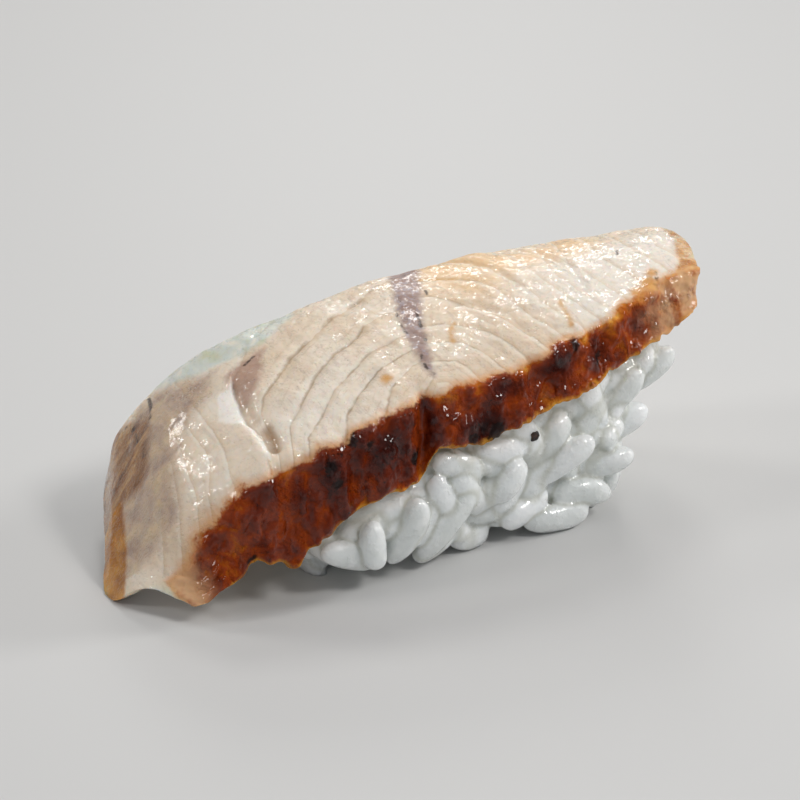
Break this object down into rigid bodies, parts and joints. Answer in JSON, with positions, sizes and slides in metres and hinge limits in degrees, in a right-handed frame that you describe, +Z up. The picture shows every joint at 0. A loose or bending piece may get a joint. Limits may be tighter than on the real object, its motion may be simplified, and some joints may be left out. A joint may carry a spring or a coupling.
{
  "type": "eel nigiri",
  "caption": "Slice of grilled eel with a browned skin side, draped over a hand-pressed block of sushi rice, whose grains show all round.",
  "frame": {"origin": "on the floor, under the middle of the whole nigiri", "axes": "+X along the slice, from the end that hangs to the floor to the raised end; the browned skin side faces -Y; +Z up"},
  "size_m": [0.0742, 0.0308, 0.0256],
  "materials": {
    "eel": "moist cream flesh, with a glossy caramel-brown crust on the skin side",
    "rice": "cooked short-grain rice, bluish white, sticky and slightly translucent"
  },
  "bodies": {
    "root": {"eel_slice": "eel", "rice": "rice"}
  },
  "joints": []
}
